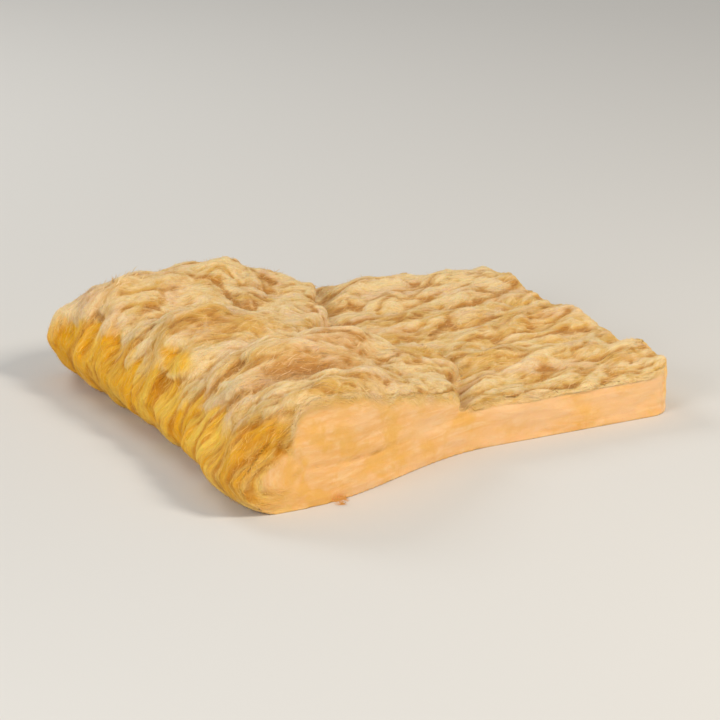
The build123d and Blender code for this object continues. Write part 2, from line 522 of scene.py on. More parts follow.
# %% Find the cut sides
side_start = -130 * MM
sides_begin, sides_full = 0.4, 0.7
run_in = 84 * MM
run_in_start, run_in_stop = 100 * MM, 400 * MM
side_near, side_gone = 45 * MM, 65 * MM
end_depth = 30 * MM

rows = vertex_array(body_mesh)
normals = vertex_array(body_mesh, "normal")
past_root, above, turn = wrap_place(rows)
along_skin = skin_lay(rows, normals)
along_side, side_depth = side_lay(rows)

sideways = np.abs(normals[:, 1])
level_part = np.maximum(np.hypot(normals[:, 0], normals[:, 1]), 0.2)
at_floor = 1 - smooth_step(rows[:, 2], 10 * MM, 20 * MM)
sideways = sideways * (1 - at_floor) + sideways / level_part * at_floor
near_line = lowest.y + run_in * smooth_step(rows[:, 0] - lowest.x, run_in_start, run_in_stop)
from_cut = np.minimum(rows[:, 1] - near_line, highest.y - rows[:, 1])
on_side = smooth_step(sideways, sides_begin, sides_full)
on_side *= 1 - smooth_step(from_cut, side_near, side_gone)
on_end = smooth_step(normals[:, 0], sides_begin, sides_full) * (rows[:, 0] > highest.x - end_depth)
lying = smooth_step(rows[:, 2], 0.5 * MM, 8 * MM)
upper = (above > 0) | ((past_root < 0) & (turn < tucked_under))
print("share of the vertices on a cut side:", on_side.mean().round(3))

# %% Measure how far each place lies below its rim
rim_steps = 60


def below_rim(side):
    """How far each vertex of the near or far cut lies in from its upper rim."""
    along = np.where(past_root < 0, -wrap_radius * turn, past_root)
    chosen = (normals[:, 1] * side > sides_full) & upper
    edges = np.linspace(skin_start, skin_end, rim_steps + 1)
    number = np.clip(np.digitize(along, edges) - 1, 0, rim_steps - 1)
    rim = np.zeros(rim_steps)
    np.maximum.at(rim, number[chosen], side_depth[chosen])
    inward = np.interp(along, (edges[:-1] + edges[1:]) / 2, rim) - side_depth
    return np.where(upper, np.maximum(inward, 0), 1.0)


near_cut = on_side * (normals[:, 1] < 0)
far_cut = on_side * (normals[:, 1] > 0)
over_rim = near_cut * below_rim(-1) + far_cut * below_rim(1)
skin_row = (along_skin - skin_start) / MM
hanging = np.minimum(over_rim, 0.9 * map_margin * MM)
skin_column = (rows[:, 1] - lowest.y + hanging * np.sign(normals[:, 1])) / MM + map_margin
along_side = along_side + on_end * (rows[:, 1] - lowest.y)
side_row = (along_side - side_start) / MM
side_column = side_depth / MM

fray_from, fray_most, fray_gain = 1.5, 6, 1.4
fold_fray, fold_fray_gain = 12, 3
felt_width, felt_more_on_fold = 21, 3
fray = np.clip(read_map(tresses, skin_row, skin_column) - fray_from, 0, fray_most)
fray = fray * fray_gain * MM
rolled = smooth_step(turn, 0, 0.25 * math.pi)
fray += rolled * (fold_fray + fold_fray_gain * read_map(locks, skin_row, skin_column)) * MM
felted = (felt_width + felt_more_on_fold * rolled) * MM
free = np.where(past_root < 0, 1 - smooth_step(turn, 0.6 * math.pi, tucked_under), 1)
frayed_off = 1 - smooth_step(over_rim, fray, fray + felted)
frayed = 1 - frayed_off * free
cut = np.maximum(on_side * frayed, on_end)
gold = read_map(gold_map, skin_row, skin_column) * (1 - cut)
print("widest fray in mm:", (fray.max() / MM).round(1))

# %% [markdown]
# ## Forms that belong to this blanket
#
# A few forms aren't random: the golden tuft that stands on the fold, the notches in the
# torn end, the pressed shoulder at the far end of the fold, and four creases that run down
# the fold's face. Sculpting by hand would be lost when the model is packed again, so each
# is a soft mound or a crease at a named place, in millimetres of the shared frame.

# %% Mounds, notches and creases
def mound(centre, reach, height=1.0):
    """A soft swelling, or with a height below 0 a hollow, round one place in millimetres."""
    steps = (rows / MM - np.array(centre)) / np.array(reach)
    return height * np.exp(-(steps ** 2).sum(axis=1))


def crease(start, stop, width, depth):
    """A fold that is pressed in between two places in millimetres."""
    start, stop = np.array(start, dtype=float), np.array(stop, dtype=float)
    run = stop - start
    share = np.clip(((rows / MM - start) @ run) / (run @ run), 0, 1)
    away = np.linalg.norm(rows / MM - start - share[:, None] * run, axis=1)
    return -depth * np.clip(1 - away / width, 0, 1) * np.sin(math.pi * (0.1 + 0.8 * share))


gold_tuft = mound((-262, -10, 100), (16, 38, 30))
own_mounds = {
    "notch in the torn end, past the middle": ((36, 134, 62), (22, 26, 30), -6),
    "notch in the torn end, toward the near cut": ((45, -160, 84), (20, 24, 30), -6),
    "small notch below the torn end": ((99, 242, 60), (18, 14, 30), -5),
    "far shoulder, pressed down": ((-238, 266, 128), (24, 34, 40), -10),
    "far shoulder, swollen below": ((-290, 262, 90), (20, 28, 24), 8),
    "torn end, drawn back at the far side": ((66, 276, 84), (26, 42, 30), -7)}
own_creases = {
    "fold face, far part": ((-268, 138, 97), (-213, 149, 118), 9, 5),
    "fold face, beside the golden tuft": ((-285, -77, 80), (-212, -131, 137), 10, 6),
    "fold face, near end": ((-305, -257, 83), (-240, -285, 130), 9, 5),
    "top, near end": ((-220, -275, 138), (-147, -236, 135), 10, 5)}
forms = 7 * gold_tuft
for centre, reach, height in own_mounds.values():
    forms += mound(centre, reach, height)
for start, stop, width, depth in own_creases.values():
    forms += crease(start, stop, width, depth)
gold *= 1 - 0.85 * mound((-225, -290, 130), (50, 60, 26))
gold = np.maximum(gold, smooth_step(gold_tuft, 0.2, 0.7) * (1 - cut))
print("own forms in mm, lowest and highest:", forms.min().round(1), forms.max().round(1))

# %% [markdown]
# ## The seam on the cut
#
# Where the two layers lie on each other, a fine brown line shows on the cut face. The
# remesh has closed the slit there, so the line is pressed in again as a shallow groove. It
# sags a little between its ends and is darkest a hand's width from the fold's inner line.

# %% The seam
seam_sag = 8 * MM
seam_reach = 290 * MM
seam_half_width = 4.5 * MM
seam_darkest = 95 * MM
seam_dark_reach = 38 * MM

seam_share = np.clip(past_root / seam_reach, 0, 1)
seam_level = -seam_sag * np.sin(math.pi * seam_share)
seam = np.exp(-((above - seam_level) / seam_half_width) ** 2) * on_side
seam *= smooth_step(past_root, -5 * MM, 15 * MM) * (past_root < seam_reach + 60 * MM)
seam *= 0.35 + 0.65 * np.exp(-((past_root - seam_darkest) / seam_dark_reach) ** 2)
seam *= smooth_step(read_map(side_height, side_row, 0 * side_row), -2, 1) * 0.8 + 0.2
print("strongest seam:", seam.max().round(2))

# %% [markdown]
# ## Raise the relief
#
# Every vertex now moves along its normal by the height that its map gives. On the fold the
# cream tufts lie a little over the golden ones. The relief fades out at the floor, and the
# underside stays flat, because wool that lies on a floor is pressed level. No vertex may
# end below the floor.

# %% Move the vertices
floor_reach = 1.5 * MM
cream_over_gold, from_top_line = 3.5, 40 * MM
seam_groove = 5
skin_relief = read_map(skin_height, skin_row, skin_column)
skin_relief += forms
skin_relief += cream_over_gold * (0.5 - gold) * smooth_step(-along_skin, 0, from_top_line)
skin_relief *= 1 - 0.5 * on_side * (1 - rolled)
side_relief = read_map(side_height, side_row, side_column) - seam_groove * seam
relief = skin_relief * (1 - cut) + side_relief * cut
rows += normals * (lying * relief * MM)[:, None]
underneath = (rows[:, 2] < floor_reach) & (normals[:, 2] < -0.95)
rows[:, 2] = np.where(underneath, 0, np.maximum(rows[:, 2], 0))
place_vertices(body_mesh, rows)
print("body box:", rows.min(axis=0).round(3), rows.max(axis=0).round(3))

# %% [markdown]
# ## What the finish will read
#
# Light on wool follows its shape: tufts that stand up catch it, and the gaps between them
# lie in deep shade. That light and shade are painted into the colour: pale on the tufts and
# deep brown in the gaps. A material can't measure that, so it is worked out here and stored
# on the mesh as one number for each vertex: how far it stands out, which sets the painted
# shade and highlight; its shade of colour; how cut and how golden it is; and its pink blush,
# which is partly painted shade. A second copy of the mesh is kept as the guide that the
# strands grow on.

# %% Store the numbers for the finish
def keep_numbers(mesh, name, values):
    """Stores one number for each vertex, for the material to read."""
    layer = mesh.attributes.new(name, "FLOAT", "POINT")
    layer.data.foreach_set("value", np.ascontiguousarray(values, dtype=np.float32))


rim_reach = 45 * MM
painted_shade_behind_crest = mound((-175, -178, 126), (85, 28, 40))
second_crest = mound((-196, 23, 131), (55, 45, 40))
near_end = mound((-270, -275, 70), (80, 70, 80))
far_shoulder = mound((-268, 258, 112), (42, 46, 32))
spike_row = mound((-224, 250, 140), (26, 24, 30))
# A band of painted highlight on the skin just over the rims of the cuts.
painted_rim_highlight = smooth_step(over_rim, 0, 3 * MM) * frayed_off * (1 - rolled)

# The number for painted shade and highlight: low in the hollows between tufts, which the finish
# paints deep brown as shade, and high on the crests, which it paints pale as highlight.
stand = read_map(skin_hollow, skin_row, skin_column) + 0.25 * skin_relief
stand = np.clip(0.5 + 0.5 * stand / np.percentile(np.abs(stand), 95), 0, 1)
# A painted highlight on the far shoulder and on the row of standing tufts.
stand += 0.2 * far_shoulder + 0.4 * spike_row
# Painted shade at the golden tuft, in the valley behind the near crest and at the near end of the
# fold.
stand *= (1 - 0.45 * gold_tuft) * (1 - 0.85 * painted_shade_behind_crest) * (1 - 0.4 * near_end)
# Painted shade over the second crest, which also gets a darker tone below.
stand *= 1 - 0.4 * second_crest
stand = np.maximum(stand, 0.7 * painted_rim_highlight)
own_shade = read_map(skin_tint, skin_row, skin_column) - 0.6 * second_crest
own_shade += 0.15 * gold_tuft
cut_shade = read_map(side_shade, side_row, side_column)
# Pink blush on the far shoulder and at one place on the top, and a pink tint of painted shade in
# the valley behind the near crest.
pink_blush_and_painted_shade = 0.7 * far_shoulder + 0.8 * painted_shade_behind_crest + mound((-95, -110, 120), (50, 40, 40), 0.7)

keep_numbers(body_mesh, "relief", stand * (1 - cut) + (0.7 - 0.65 * seam) * cut)
keep_numbers(body_mesh, "pink_blush_and_painted_shade", 0.7 * np.clip(pink_blush_and_painted_shade, 0, 1))
keep_numbers(body_mesh, "shade", own_shade * (1 - cut) + cut_shade * cut)
keep_numbers(body_mesh, "cut", cut)
keep_numbers(body_mesh, "gold", gold)
guide_mesh = body_mesh.copy()
keep_numbers(body_mesh, "rim", 1 - smooth_step(over_rim, 0, rim_reach))
print("numbers on the body:", [a.name for a in body_mesh.attributes if a.data_type == "FLOAT"])

# %% [markdown]
# The streaks of the finish follow the lay of the fibres, so the body gets two UV maps in
# real metres: one of the unrolled skin, with its drift, and one of the cut faces. The many
# small faces of the flat underside carry nothing, so they are swapped for one.

# %% Store the unrolled places and close the underside
def keep_lay(mesh, name, along, across):
    """Stores a place on the unrolled wool as a UV map, in metres."""
    layer = mesh.uv_layers.new(name=name)
    corner_vertex = np.empty(len(mesh.loops), dtype=np.int32)
    mesh.loops.foreach_get("vertex_index", corner_vertex)
    corners = np.stack([along, across], axis=1)[corner_vertex]
    layer.data.foreach_set("uv", np.ascontiguousarray(corners, dtype=np.float32).ravel())


def refill_flat(mesh, chosen):
    """Swaps the small faces between the chosen vertices for one flat face."""
    work = bmesh.new()
    work.from_mesh(mesh)
    faces = [face for face in work.faces if all(chosen[vert.index] for vert in face.verts)]
    bmesh.ops.delete(work, geom=faces, context="FACES")
    rim = [edge for edge in work.edges if edge.is_boundary]
    made = bmesh.ops.holes_fill(work, edges=rim)["faces"]
    for face in made:
        face.smooth = False
    work.to_mesh(mesh)
    work.free()
    return len(faces), len(made)


def triangle_count(mesh):
    """How many triangles a mesh turns into."""
    return len(mesh.loops) - 2 * len(mesh.polygons)


drifted = (skin_column + read_map(drift, skin_row, skin_column)) * MM
keep_lay(body_mesh, "lay", along_skin, drifted)
keep_lay(body_mesh, "cut_lay", along_side, side_depth)
body_mesh.polygons.foreach_set("use_smooth", np.ones(len(body_mesh.polygons), dtype=bool))
print("underside faces before and after:", refill_flat(body_mesh, underneath))
print("body triangles:", triangle_count(body_mesh))

# %% [markdown]
# ## The finish: glass wool with a yellow binder
#
# Glass wool is spun from molten glass into a felt of fine fibres, and a phenolic binder
# holds it and gives it its yellow-brown colour. Single fibres, a few thousandths of a
# millimetre thick, are far too fine to show, so they are drawn as coarse as streaks of a
# few millimetres. What meets the eye is soft: no gloss, a little light passing into the
# surface, pale cream where loose fibre catches the light, and deep orange in the gaps. The
# pale cream and the deep orange are painted into the colour, as painted highlight and
# painted shade.
#
# An image texture would stretch over the fold. Noise on the unrolled maps doesn't, and its
# scale is a real size. First come the three patterns that the finish is made of.

# %% Streaks, creases and coats of colour
def streaks(tree, uv_map, long, wide, detail):
    """Noise drawn out into streaks of this length and width, on one of the unrolled maps."""
    lay = add_node(tree, "ShaderNodeUVMap", uv_map=uv_map)
    stretched = add_node(tree, "ShaderNodeMapping",
                         {"Vector": lay.outputs["UV"], "Scale": (1 / long, 1 / wide, 1)})
    noise = add_node(tree, "ShaderNodeTexNoise",
                     {"Vector": stretched.outputs[0], "Scale": 1.0, "Detail": detail,
                      "Roughness": 0.6, "Distortion": 0.5})
    return noise.outputs["Fac"]


def creased(tree, pattern):
    """Round on top, and creased where the pattern passes its middle."""
    centred = add_node(tree, "ShaderNodeMath", {0: pattern, 1: 0.5}, operation="SUBTRACT")
    folded = add_node(tree, "ShaderNodeMath", {0: centred.outputs[0]}, operation="ABSOLUTE")
    return folded.outputs[0]


def coated(tree, colour, coats):
    """Lays coats of colour over each other. Each coat is a hex colour, the reading that
    it follows, the two ends of that reading's range, and its cover at the second end."""
    for paint, reading, low, high, most in coats:
        cover = add_node(tree, "ShaderNodeMapRange",
                         {"Value": reading, "From Min": low, "From Max": high, "To Max": most},
                         interpolation_type="SMOOTHSTEP")
        over = add_node(tree, "ShaderNodeMix",
                        {0: cover.outputs[0], 6: colour, 7: srgb(paint)}, data_type="RGBA")
        colour = over.outputs[2]
    return colour


streak_long, streak_wide = 34 * MM, 7 * MM
print("streaks on the torn skin, in mm:", round(streak_long / MM), "by", round(streak_wide / MM))


# %% The readings of the finish
def wool_readings(tree):
    """Every stored number and every pattern that the finish follows, by name."""
    read = {name: add_node(tree, "ShaderNodeAttribute", attribute_name=name).outputs["Fac"]
            for name in ("relief", "shade", "gold", "cut", "rim", "pink_blush_and_painted_shade")}
    read["coarse"] = creased(tree, streaks(tree, "lay", streak_long, streak_wide, 3.0))
    read["fine"] = creased(tree, streaks(tree, "lay", streak_long / 2, streak_wide / 3, 3.0))
    read["patches"] = streaks(tree, "lay", 90 * MM, 40 * MM, 2.0)
    read["ragged"] = streaks(tree, "lay", 50 * MM, 6 * MM, 3.0)
    read["level"] = streaks(tree, "cut_lay", 40 * MM, 7 * MM, 5.0)
    place = add_node(tree, "ShaderNodeTexCoord").outputs["Object"]
    read["blotch"] = add_node(tree, "ShaderNodeTexNoise",
                              {"Vector": place, "Scale": 1 / (45 * MM), "Detail": 4.0,
                               "Roughness": 0.6, "Distortion": 0.5}).outputs["Fac"]
    return read


# %% [markdown]
# The colour is built like paint, from a ground and thin coats. On the torn skin the cream
# ground gets painted shade in the hollows and a painted highlight on the crests, and the
# golden wool of the fold does the same in its own colours. The fine creases of the streaks
# get a little painted shade too. A few places on the skin have a faint pink blush, and in the
# valley behind the near crest that pink is painted shade. The cut face shows clean inner
# wool: peach, level and nearly plain, a little more golden under its rim, with the brown
# seam.

# %% Colours of the torn skin and the cut face
def torn_colour(tree, read):
    """Cream and golden wool, with a painted highlight where it stands up and brown painted shade
    in the gaps.
    """
    cream = coated(tree, srgb("#DDAF5E"), [
        ("#F0D298", read["shade"], 0.25, 0.75, 1.0),
        ("#EAC6A0", read["patches"], 0.48, 0.64, 0.6)])
    cream = add_node(tree, "ShaderNodeMix", {0: read["pink_blush_and_painted_shade"], 6: cream, 7: srgb("#E4B494")},
                     data_type="RGBA").outputs[2]
    # Painted shade in the hollows, deeper in the deepest, and a painted highlight on the crests.
    cream = coated(tree, cream, [
        ("#C2893E", read["relief"], 0.55, 0.15, 0.75),
        ("#A4682A", read["relief"], 0.25, 0.0, 0.5),
        ("#F8DFAC", read["relief"], 0.5, 1.0, 0.6)])
    # The golden wool gets its own painted shade in the hollows and painted highlight on the
    # crests.
    golden = coated(tree, srgb("#F2AC10"), [
        ("#FACB50", read["shade"], 0.2, 0.8, 1.0),
        ("#C87808", read["relief"], 0.5, 0.1, 0.75),
        ("#F8D078", read["relief"], 0.55, 1.0, 0.5)])
    torn = add_node(tree, "ShaderNodeMix", {0: read["gold"], 6: cream, 7: golden},
                    data_type="RGBA").outputs[2]
    # Painted shade in the fine creases of the streaks.
    return coated(tree, torn, [
        ("#C88C34", read["coarse"], 0.04, 0.0, 0.3),
        ("#D29A44", read["fine"], 0.035, 0.0, 0.2)])


def sliced_colour(tree, read):
    """Clean peach wool in level streaks, more golden near the rim and brown in the seam."""
    near_rim = add_node(tree, "ShaderNodeMath", {0: read["ragged"], 1: 1.6, 2: read["rim"]},
                        operation="MULTIPLY_ADD").outputs[0]
    return coated(tree, srgb("#F4BB74"), [
        ("#FCD29C", read["level"], 0.35, 0.7, 0.8),
        ("#F0B75E", read["blotch"], 0.44, 0.62, 0.85),
        ("#F8CA98", read["shade"], 0.3, 0.9, 0.7),
        ("#EEBF70", near_rim, 1.3, 2.0, 1.0),
        ("#B8782C", read["relief"], 0.5, 0.1, 0.8)])


# %% [markdown]
# The body of wool lets light in, so it has some subsurface. A loose strand is thinner than
# the depth that the light reaches, so its material has none, and is painted a little paler
# instead: a painted lightening that stands for the light passing into it.
# The bump is only for what is finer than the mesh: hair-like creases within each tuft.

# %% The two wool materials
def wool_material(name, depth):
    """Loose glass fibre with a phenolic binder. Depth is how far light passes into it."""
    material, tree = new_material(name)
    read = wool_readings(tree)
    colour = add_node(tree, "ShaderNodeMix",
                      {0: read["cut"], 6: torn_colour(tree, read), 7: sliced_colour(tree, read)},
                      data_type="RGBA").outputs[2]
    # A loose strand is painted paler, in place of the light that subsurface would carry into it.
    if not depth:
        colour = add_node(tree, "ShaderNodeMix", {0: 0.2, 6: colour, 7: srgb("#F8CC84")},
                          data_type="RGBA").outputs[2]

    loose = add_node(tree, "ShaderNodeMath", {0: read["cut"], 1: -0.9, 2: 1.0},
                     operation="MULTIPLY_ADD").outputs[0]
    hair = add_node(tree, "ShaderNodeMapRange", {"Value": read["fine"], "From Max": 0.18},
                    interpolation_type="SMOOTHSTEP").outputs[0]
    weave = add_node(tree, "ShaderNodeMapRange", {"Value": read["coarse"], "From Max": 0.2},
                     interpolation_type="SMOOTHSTEP").outputs[0]
    bump = add_node(tree, "ShaderNodeBump",
                    {"Height": hair, "Strength": loose, "Distance": 0.3 * MM})
    for height, strength, distance in ((weave, loose, 1.4 * MM),
                                       (read["level"], read["cut"], 0.8 * MM)):
        bump = add_node(tree, "ShaderNodeBump",
                        {"Height": height, "Strength": strength, "Distance": distance,
                         "Normal": bump.outputs[0]})
    shader = add_node(tree, "ShaderNodeBsdfPrincipled",
                      {"Base Color": colour, "Roughness": 0.9, "IOR": 1.45,
                       "Specular IOR Level": 0.1, "Subsurface Weight": 0.4 if depth else 0.0,
                       "Subsurface Radius": (1.0, 0.6, 0.25), "Subsurface Scale": depth,
                       "Sheen Weight": 0.05, "Sheen Roughness": 0.6,
                       "Normal": bump.outputs[0]})
    add_node(tree, "ShaderNodeOutputMaterial", {"Surface": shader.outputs[0]})
    print(name, "has", len(tree.nodes), "nodes")
    return material


glass_wool = wool_material("glass_wool_with_yellow_binder", 3.5 * MM)
loose_wool = wool_material("loose_glass_fibre", 0.0)

# %% [markdown]
# The body now takes the place of the imported solid, which is hidden. It takes its finish
# and rides on the part's root.

body_mesh.materials.append(glass_wool)
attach(body, "root")
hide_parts("wool_blanket")
print("the body's material:", body_mesh.materials[0].name)

# %% [markdown]
# ## Loose strands
#
# Torn wool is never closed: loose strands lie on every tuft, sink into it at one end and
# lift a little at the other. Only real strands give that soft, broken outline, and there
# are tens of thousands of them, so Geometry Nodes grow them on the guide mesh. Particle
# hair would also do, but it can't be kept as a plain mesh so simply.
#
# The guide tells the tree which way the fibres flow, which way is outward, and how thickly
# each kind of strand grows there. Round the fold's cut ends the fibres flow in a circle.

# %% Prepare the guide
def keep_vectors(mesh, name, values):
    """Stores one vector for each vertex."""
    layer = mesh.attributes.new(name, "FLOAT_VECTOR", "POINT")
    layer.data.foreach_set("vector", np.ascontiguousarray(values, dtype=np.float32).ravel())


across_axis = np.array([0.0, 1.0, 0.0])
flow = np.cross(across_axis, normals)
flow /= np.maximum(np.linalg.norm(flow, axis=1), 0.001)[:, None]
beside = np.cross(normals, flow)
lean = read_map(lay_angle, skin_row, skin_column)[:, None]
flow = flow * np.cos(lean) + beside * np.sin(lean)
round_root = np.stack([above, 0 * above, -past_root], axis=1)
round_root /= np.maximum(np.linalg.norm(round_root, axis=1), 0.001)[:, None]
side_flow = np.where((past_root < 0)[:, None], round_root, np.array([1.0, 0.0, 0.0]))
flow = flow * (1 - on_side[:, None]) + side_flow * on_side[:, None]

uncut = 1 - smooth_step(cut, 0.1, 0.5)
flap_end = smooth_step(normals[:, 0], 0.3, 0.6) * (above > 15 * MM) * (1 - on_end)
keep_vectors(guide_mesh, "flow", flow)
keep_vectors(guide_mesh, "outward", normals)
keep_numbers(guide_mesh, "torn", lying * uncut)
keep_numbers(guide_mesh, "sliced", lying * smooth_step(cut, 0.5, 0.9) * (1 - seam))
keep_numbers(guide_mesh, "spiky", np.maximum(spike_row, 0.12 * flap_end) * uncut)
print("guide vertices:", len(guide_mesh.vertices))

# %% [markdown]
# ## The tree that grows strands
#
# One tree serves every kind of strand, and its named inputs are the sizes that differ. A
# random number is drawn for each property, each from a seed of its own counted on from the
# tree's seed, so that a long strand isn't always a wide one too. Names that start with
# lock_ are notes that the tree leaves on its points and that are cleared away at the end.

# %% Inputs, readings and random numbers
growth = bpy.data.node_groups.new("wool_locks", "GeometryNodeTree")
growth.interface.new_socket("Geometry", in_out="INPUT", socket_type="NodeSocketGeometry")
strand_inputs = {
    "Cover": "String", "Count per square metre": "Float", "Shortest": "Float",
    "Longest": "Float", "Narrowest": "Float", "Widest": "Float", "Flatness": "Float",
    "Stack height": "Float", "Sink": "Float", "Tip lift": "Float", "Turn": "Float",
    "Sway": "Float", "Points": "Int", "Seed": "Int", "Wool": "Material"}
for name, kind in strand_inputs.items():
    growth.interface.new_socket(name, in_out="INPUT", socket_type="NodeSocket" + kind)
growth.interface.new_socket("Geometry", in_out="OUTPUT", socket_type="NodeSocketGeometry")
given = add_node(growth, "NodeGroupInput").outputs

noted = {}
for kind, names in {"FLOAT": ("shade", "relief", "lock_width", "lock_level", "lock_lift",
                              "lock_sway", "lock_start", "lock_length", "lock_share"),
                    "FLOAT_VECTOR": ("flow", "outward", "under")}.items():
    for name in names:
        noted[name] = add_node(growth, "GeometryNodeInputNamedAttribute", {"Name": name},
                               data_type=kind).outputs["Attribute"]

least_turn, least_sway = (add_node(growth, "ShaderNodeMath", {0: given[name], 1: -1.0},
                                   operation="MULTIPLY").outputs[0]
                          for name in ("Turn", "Sway"))
first_draw = 11
draws = {"turn": (least_turn, given["Turn"]), "length": (given["Shortest"], given["Longest"]),
         "width": (given["Narrowest"], given["Widest"]), "level": (0.0, given["Stack height"]),
         "lift": (0.0, given["Tip lift"]), "sway": (least_sway, given["Sway"]),
         "shade": (-0.35, 0.35), "start": (0.0, 1.0), "relief": (-0.25, 0.4)}
drawn = {}
for number, (name, (least, most)) in enumerate(draws.items(), first_draw):
    seed = add_node(growth, "ShaderNodeMath", {0: given["Seed"], 1: number}, operation="ADD")
    drawn[name] = add_node(growth, "FunctionNodeRandomValue",
                           {2: least, 3: most, "Seed": seed.outputs[0]},
                           data_type="FLOAT").outputs[1]
print("inputs of the tree:", len(strand_inputs), "random numbers for each strand:", len(drawn))

# %% [markdown]
# First the roots. Points are strewn on the guide, thicker where its cover number is higher.
# Each point takes its random numbers and gets a straight line of unit length, turned along
# the flow and stretched to the strand's own length.

# %% Strew the points and set a line on each
cover = add_node(growth, "GeometryNodeInputNamedAttribute", {"Name": given["Cover"]},
                 data_type="FLOAT")
density = add_node(growth, "ShaderNodeMath",
                   {0: given["Count per square metre"], 1: cover.outputs["Attribute"]},
                   operation="MULTIPLY")
strewn = add_node(growth, "GeometryNodeDistributePointsOnFaces",
                  {"Mesh": given["Geometry"], "Density": density.outputs[0],
                   "Seed": given["Seed"]}, distribute_method="RANDOM")
# Each strand takes the tone and the number for painted shade and highlight of the wool under it,
# with a random offset of its own.
own_tone = {name: add_node(growth, "ShaderNodeMath", {0: noted[name], 1: drawn[name]},
                           operation="ADD").outputs[0]
            for name in ("shade", "relief")}
notes = {"lock_width": drawn["width"], "lock_level": drawn["level"],
         "lock_lift": drawn["lift"], "lock_sway": drawn["sway"], "shade": own_tone["shade"],
         "relief": own_tone["relief"], "lock_start": drawn["start"],
         "lock_length": drawn["length"]}
points = strewn.outputs["Points"]
for name, value in notes.items():
    points = add_node(growth, "GeometryNodeStoreNamedAttribute",
                      {"Geometry": points, "Name": name, "Value": value},
                      data_type="FLOAT", domain="POINT").outputs[0]

turned = add_node(growth, "ShaderNodeVectorRotate",
                  {"Vector": noted["flow"], "Axis": noted["outward"], "Angle": drawn["turn"]},
                  rotation_type="AXIS_ANGLE")
aim = add_node(growth, "FunctionNodeAxesToRotation",
               {"Primary Axis": turned.outputs[0], "Secondary Axis": noted["outward"]},
               primary_axis="X", secondary_axis="Z")
line = add_node(growth, "GeometryNodeCurvePrimitiveLine",
                {"Start": (-0.5, 0, 0), "End": (0.5, 0, 0)})
fine_line = add_node(growth, "GeometryNodeResampleCurve",
                     {"Curve": line.outputs[0], "Count": given["Points"]})
sized = add_node(growth, "ShaderNodeCombineXYZ", {0: drawn["length"], 1: 1.0, 2: 1.0})
placed = add_node(growth, "GeometryNodeInstanceOnPoints",
                  {"Points": points, "Instance": fine_line.outputs[0],
                   "Rotation": aim.outputs[0], "Scale": sized.outputs[0]})
lines = add_node(growth, "GeometryNodeRealizeInstances", {0: placed.outputs[0]}).outputs[0]
print("notes on each point:", len(notes))

# %% [markdown]
# Then the lie. Each line sways a little to the side, and all its points are drawn onto the
# guide, so that a long strand follows the round of the fold. From there the points rise:
# the root end sinks in, and the free end lifts off. Nothing goes below the floor.

# %% Lay the lines on the wool
lowest_strand = 1.5 * MM
share = add_node(growth, "GeometryNodeSplineParameter").outputs["Factor"]
place = add_node(growth, "GeometryNodeInputPosition").outputs[0]
beside = add_node(growth, "ShaderNodeVectorMath", {0: noted["outward"], 1: noted["flow"]},
                  operation="CROSS_PRODUCT")
round_turn = add_node(growth, "ShaderNodeMath", {0: share, 1: 2 * math.pi},
                      operation="MULTIPLY")
swing = add_node(growth, "ShaderNodeMath", {0: round_turn.outputs[0]}, operation="SINE")
sway = add_node(growth, "ShaderNodeMath", {0: swing.outputs[0], 1: noted["lock_sway"]},
                operation="MULTIPLY")
sideways_step = add_node(growth, "ShaderNodeVectorMath",
                         {0: beside.outputs[0], "Scale": sway.outputs[0]}, operation="SCALE")
swayed = add_node(growth, "ShaderNodeVectorMath", {0: place, 1: sideways_step.outputs[0]},
                  operation="ADD")
lines = add_node(growth, "GeometryNodeSetPosition",
                 {"Geometry": lines, "Position": swayed.outputs[0]}).outputs[0]

nearest = {}
for name, wanted in {"under": noted["outward"], "ground": place}.items():
    nearest[name] = add_node(growth, "GeometryNodeSampleNearestSurface",
                             {"Mesh": given["Geometry"], "Value": wanted,
                              "Sample Position": place},
                             data_type="FLOAT_VECTOR").outputs["Value"]
lines = add_node(growth, "GeometryNodeStoreNamedAttribute",
                 {"Geometry": lines, "Name": "under", "Value": nearest["under"]},
                 data_type="FLOAT_VECTOR", domain="POINT").outputs[0]

tip = add_node(growth, "ShaderNodeMapRange",
               {"Value": share, "From Min": 0.45, "From Max": 1.0},
               interpolation_type="SMOOTHSTEP")
root = add_node(growth, "ShaderNodeMapRange",
                {"Value": share, "From Min": 0.35, "From Max": 0.0},
                interpolation_type="SMOOTHSTEP")
lift = add_node(growth, "ShaderNodeMath", {0: tip.outputs[0], 1: noted["lock_lift"]},
                operation="MULTIPLY")
lifted = add_node(growth, "ShaderNodeMath", {0: noted["lock_level"], 1: lift.outputs[0]},
                  operation="ADD")
sink = add_node(growth, "ShaderNodeMath", {0: root.outputs[0], 1: given["Sink"]},
                operation="MULTIPLY")
height = add_node(growth, "ShaderNodeMath", {0: lifted.outputs[0], 1: sink.outputs[0]},
                  operation="SUBTRACT")
outward_step = add_node(growth, "ShaderNodeVectorMath",
                        {0: noted["under"], "Scale": height.outputs[0]}, operation="SCALE")
raised = add_node(growth, "ShaderNodeVectorMath",
                  {0: nearest["ground"], 1: outward_step.outputs[0]}, operation="ADD")
kept_up = add_node(growth, "ShaderNodeVectorMath",
                   {0: raised.outputs[0], 1: (-10, -10, lowest_strand)}, operation="MAXIMUM")
lines = add_node(growth, "GeometryNodeSetPosition",
                 {"Geometry": lines, "Position": kept_up.outputs[0]}).outputs[0]
lines = add_node(growth, "GeometryNodeSetCurveNormal",
                 {"Curve": lines, "Normal": noted["under"]}, mode="FREE").outputs[0]
print("lowest strand in mm:", lowest_strand / MM)

